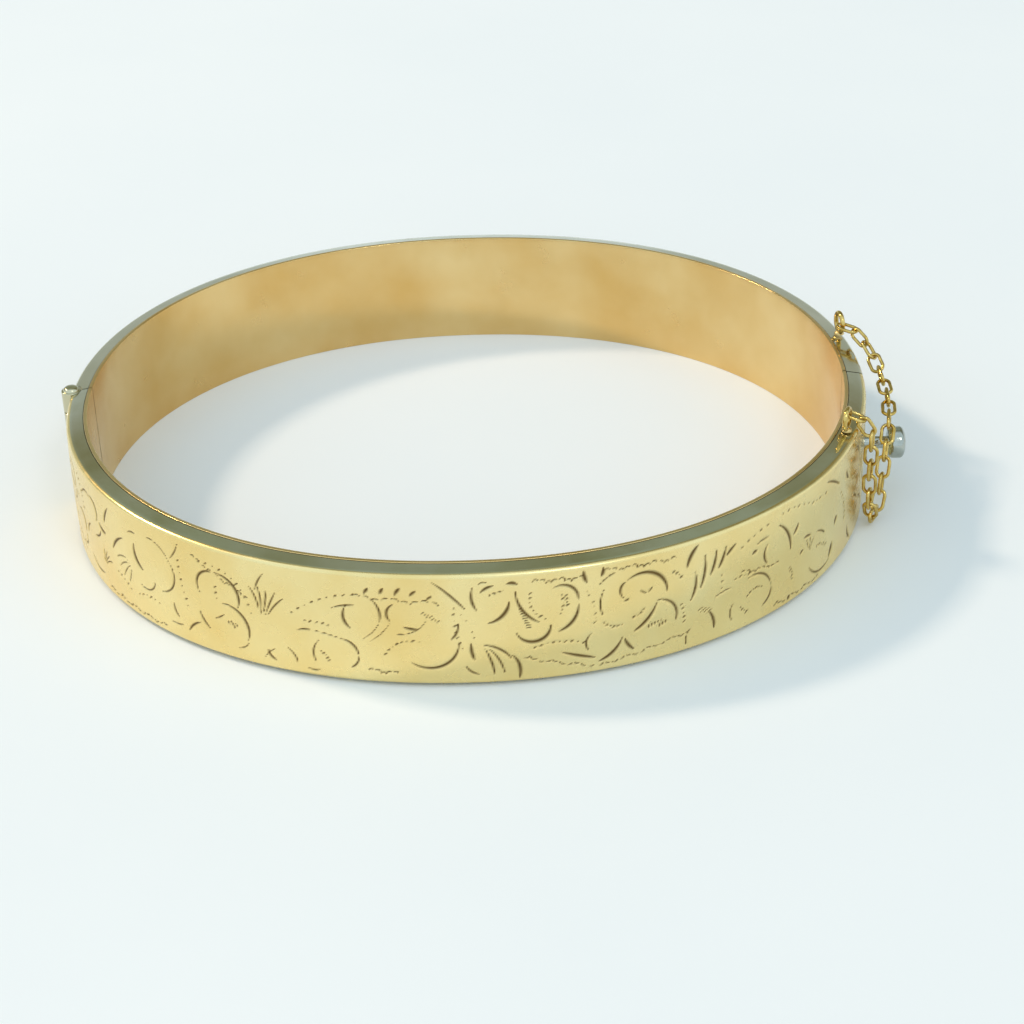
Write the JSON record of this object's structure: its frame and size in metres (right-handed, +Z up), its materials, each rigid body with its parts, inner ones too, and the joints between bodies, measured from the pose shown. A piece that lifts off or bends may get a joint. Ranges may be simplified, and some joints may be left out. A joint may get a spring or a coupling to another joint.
{
  "type": "bangle bracelet",
  "caption": "Hinged hollow oval bangle with an engraved front half, a plain back half, a push-in snap clasp with thumb-piece and a safety chain.",
  "frame": {"origin": "on the surface the bangle lies on, under the middle of its bounding box (hinge barrel to thumb-piece)", "axes": "+Z up, the height of the band; +X from the hinge to the clasp; +Y from the engraved front half to the plain back half"},
  "size_m": [0.0679, 0.0592, 0.0116],
  "materials": {
    "engraved_gold": "bright-cut engraved rolled gold, satin between the cuts",
    "polished_gold": "mirror-polished rolled gold",
    "liner_gold": "satin, deeper gold",
    "plate_gold": "plain gold sheet, soldered",
    "spring_gold": "hard-rolled spring strip",
    "thumb_metal": "polished, worn to a silver grey",
    "chain_gold": "polished yellow gold wire"
  },
  "bodies": {
    "back_half": {"back_outer_shell": "polished_gold", "back_inner_liner": "liner_gold", "back_hinge_end_plate": "plate_gold", "back_clasp_end_plate": "plate_gold", "tongue_base_leaf": "spring_gold", "back_hinge_knuckle_1": "polished_gold", "back_hinge_knuckle_3": "polished_gold", "back_hinge_knuckle_5": "polished_gold", "hinge_pin": "plate_gold", "back_chain_ring": "chain_gold"},
    "front_half": {"front_outer_shell": "engraved_gold", "front_inner_liner": "liner_gold", "front_hinge_end_plate": "plate_gold", "front_clasp_mouth": "plate_gold", "front_hinge_knuckle_2": "polished_gold", "front_hinge_knuckle_4": "polished_gold", "front_chain_ring": "chain_gold"},
    "snap_leaf": {"tongue_spring_leaf": "spring_gold", "thumb_piece": "thumb_metal"},
    "chain_link_01": {"chain_link_01": "chain_gold"},
    "chain_link_02": {"chain_link_02": "chain_gold"},
    "chain_link_03": {"chain_link_03": "chain_gold"},
    "chain_link_04": {"chain_link_04": "chain_gold"},
    "chain_link_05": {"chain_link_05": "chain_gold"},
    "chain_link_06": {"chain_link_06": "chain_gold"},
    "chain_link_07": {"chain_link_07": "chain_gold"},
    "chain_link_08": {"chain_link_08": "chain_gold"},
    "chain_link_09": {"chain_link_09": "chain_gold"},
    "chain_link_10": {"chain_link_10": "chain_gold"},
    "chain_link_11": {"chain_link_11": "chain_gold"},
    "chain_link_12": {"chain_link_12": "chain_gold"},
    "chain_link_13": {"chain_link_13": "chain_gold"},
    "chain_link_14": {"chain_link_14": "chain_gold"},
    "chain_link_15": {"chain_link_15": "chain_gold"},
    "chain_link_16": {"chain_link_16": "chain_gold"},
    "chain_link_17": {"chain_link_17": "chain_gold"},
    "chain_link_18": {"chain_link_18": "chain_gold"},
    "chain_link_19": {"chain_link_19": "chain_gold"},
    "chain_link_20": {"chain_link_20": "chain_gold"},
    "chain_link_21": {"chain_link_21": "chain_gold"},
    "chain_link_22": {"chain_link_22": "chain_gold"},
    "chain_link_23": {"chain_link_23": "chain_gold"}
  },
  "joints": [
    {"name": "bangle_hinge", "type": "hinge", "parent": "back_half", "child": "front_half", "pos_m": [-0.03315, 0, 0.00485], "axis": [0, 0, -1], "range_deg": [0, 12.8], "deforming": ["tongue_spring_leaf"]},
    {"name": "snap_leaf_press", "type": "hinge", "parent": "back_half", "child": "snap_leaf", "pos_m": [0.02955, -0.0063, 0.00485], "axis": [0, 0, 1], "range_deg": [0, 2.9], "stiffness_Nm_per_rad": 0.05},
    {"name": "link_01_swing", "type": "hinge", "parent": "back_half", "child": "chain_link_01", "pos_m": [0.02977, 0.0061, 0.01065], "axis": [0.2314, -0.3959, -0.8887], "range_deg": [0, 66.25]},
    {"name": "link_02_swing", "type": "hinge", "parent": "chain_link_01", "child": "chain_link_02", "pos_m": [0.03056, 0.00565, 0.01054], "axis": [-0.7591, -0.3668, 0.5378], "range_deg": [0, 43.25]},
    {"name": "link_03_swing", "type": "hinge", "parent": "chain_link_02", "child": "chain_link_03", "pos_m": [0.03158, 0.00452, 0.00968], "axis": [-0.4244, 0.3715, 0.8257], "range_deg": [0, 30.9]},
    {"name": "link_04_swing", "type": "hinge", "parent": "chain_link_03", "child": "chain_link_04", "pos_m": [0.03196, 0.00376, 0.00917], "axis": [0.1886, 0.493, 0.8494], "range_deg": [0, 22.5]},
    {"name": "link_05_swing", "type": "hinge", "parent": "chain_link_04", "child": "chain_link_05", "pos_m": [0.03241, 0.00227, 0.0084], "axis": [0.0587, 0.8446, 0.5322], "range_deg": [0, 24.69]},
    {"name": "link_06_swing", "type": "hinge", "parent": "chain_link_05", "child": "chain_link_06", "pos_m": [0.03257, 0.00136, 0.00808], "axis": [0.5275, 0.7984, 0.2904], "range_deg": [0, 25.81]},
    {"name": "link_07_swing", "type": "hinge", "parent": "chain_link_06", "child": "chain_link_07", "pos_m": [0.03272, -0.00033, 0.00769], "axis": [0.5646, -0.7954, 0.2201], "range_deg": [0, 22.75]},
    {"name": "link_08_swing", "type": "hinge", "parent": "chain_link_07", "child": "chain_link_08", "pos_m": [0.03273, -0.0013, 0.00753], "axis": [-0.1725, -0.9813, 0.0857], "range_deg": [0, 42.4]},
    {"name": "link_09_swing", "type": "hinge", "parent": "chain_link_08", "child": "chain_link_09", "pos_m": [0.0326, -0.00301, 0.0072], "axis": [-0.2077, -0.9781, 0.0143], "range_deg": [0, 40.82]},
    {"name": "link_10_swing", "type": "hinge", "parent": "chain_link_09", "child": "chain_link_10", "pos_m": [0.03247, -0.00392, 0.00684], "axis": [-0.5945, -0.7844, -0.1771], "range_deg": [0, 41.98]},
    {"name": "link_11_swing", "type": "hinge", "parent": "chain_link_10", "child": "chain_link_11", "pos_m": [0.03215, -0.00527, 0.0058], "axis": [-0.7516, -0.5474, -0.3679], "range_deg": [0, 27.23]},
    {"name": "link_12_swing", "type": "hinge", "parent": "chain_link_11", "child": "chain_link_12", "pos_m": [0.03199, -0.0058, 0.005], "axis": [-0.935, 0.3454, -0.0799], "range_deg": [0, 18.03]},
    {"name": "link_13_swing", "type": "hinge", "parent": "chain_link_12", "child": "chain_link_13", "pos_m": [0.03177, -0.00638, 0.00338], "axis": [-0.6501, 0.6318, 0.4222], "range_deg": [0, 7.8]},
    {"name": "link_14_swing", "type": "hinge", "parent": "chain_link_13", "child": "chain_link_14", "pos_m": [0.03167, -0.00657, 0.00242], "axis": [0.9515, -0.2658, 0.1547], "range_deg": [0, 13.29]},
    {"name": "link_15_swing", "type": "hinge", "parent": "chain_link_14", "child": "chain_link_15", "pos_m": [0.03129, -0.00729, 0.00088], "axis": [0.9163, -0.3444, 0.2042], "range_deg": [0, 54.75]},
    {"name": "link_23_swing", "type": "hinge", "parent": "front_half", "child": "chain_link_23", "pos_m": [0.02863, -0.00914, 0.01064], "axis": [-0.1949, -0.5428, 0.817], "range_deg": [0, 80.58]},
    {"name": "link_22_swing", "type": "hinge", "parent": "chain_link_23", "child": "chain_link_22", "pos_m": [0.02948, -0.00928, 0.01033], "axis": [0.6758, -0.6922, -0.2532], "range_deg": [0, 59.13]},
    {"name": "link_21_swing", "type": "hinge", "parent": "chain_link_22", "child": "chain_link_21", "pos_m": [0.03041, -0.00937, 0.00886], "axis": [0.3076, -0.6838, -0.6616], "range_deg": [0, 59.57]},
    {"name": "link_20_swing", "type": "hinge", "parent": "chain_link_21", "child": "chain_link_20", "pos_m": [0.03042, -0.0093, 0.00788], "axis": [-0.5193, 0.0913, -0.8497], "range_deg": [0, 58.92]},
    {"name": "link_19_swing", "type": "hinge", "parent": "chain_link_20", "child": "chain_link_19", "pos_m": [0.03042, -0.00916, 0.00615], "axis": [-0.8304, -0.516, -0.2104], "range_deg": [0, 26.41]},
    {"name": "link_18_swing", "type": "hinge", "parent": "chain_link_19", "child": "chain_link_18", "pos_m": [0.03043, -0.00908, 0.00518], "axis": [0.2597, -0.1843, 0.9479], "range_deg": [0, 48.42]},
    {"name": "link_17_swing", "type": "hinge", "parent": "chain_link_18", "child": "chain_link_17", "pos_m": [0.03047, -0.00894, 0.00345], "axis": [0.0597, -0.0652, 0.9961], "range_deg": [0, 42.05]},
    {"name": "link_16_swing", "type": "hinge", "parent": "chain_link_17", "child": "chain_link_16", "pos_m": [0.03053, -0.0088, 0.00247], "axis": [-0.7978, 0.425, -0.4278], "range_deg": [0, 5.47]}
  ],
  "couplings": [
    {"joint": "link_01_swing", "follows": "bangle_hinge", "ratio": 5.1364},
    {"joint": "link_02_swing", "follows": "bangle_hinge", "ratio": 3.3399},
    {"joint": "link_03_swing", "follows": "bangle_hinge", "ratio": 2.3748},
    {"joint": "link_04_swing", "follows": "bangle_hinge", "ratio": 1.7185},
    {"joint": "link_05_swing", "follows": "bangle_hinge", "ratio": 1.8896},
    {"joint": "link_06_swing", "follows": "bangle_hinge", "ratio": 1.977},
    {"joint": "link_07_swing", "follows": "bangle_hinge", "ratio": 1.7383},
    {"joint": "link_08_swing", "follows": "bangle_hinge", "ratio": 3.2737},
    {"joint": "link_09_swing", "follows": "bangle_hinge", "ratio": 3.1499},
    {"joint": "link_10_swing", "follows": "bangle_hinge", "ratio": 3.2406},
    {"joint": "link_11_swing", "follows": "bangle_hinge", "ratio": 2.0887},
    {"joint": "link_12_swing", "follows": "bangle_hinge", "ratio": 1.3697},
    {"joint": "link_13_swing", "follows": "bangle_hinge", "ratio": 0.57066},
    {"joint": "link_14_swing", "follows": "bangle_hinge", "ratio": 0.9995},
    {"joint": "link_15_swing", "follows": "bangle_hinge", "ratio": 4.2382},
    {"joint": "link_23_swing", "follows": "bangle_hinge", "ratio": 6.2563},
    {"joint": "link_22_swing", "follows": "bangle_hinge", "ratio": 4.5808},
    {"joint": "link_21_swing", "follows": "bangle_hinge", "ratio": 4.6147},
    {"joint": "link_20_swing", "follows": "bangle_hinge", "ratio": 4.5642},
    {"joint": "link_19_swing", "follows": "bangle_hinge", "ratio": 2.0242},
    {"joint": "link_18_swing", "follows": "bangle_hinge", "ratio": 3.7439},
    {"joint": "link_17_swing", "follows": "bangle_hinge", "ratio": 3.246},
    {"joint": "link_16_swing", "follows": "bangle_hinge", "ratio": 0.38861}
  ]
}
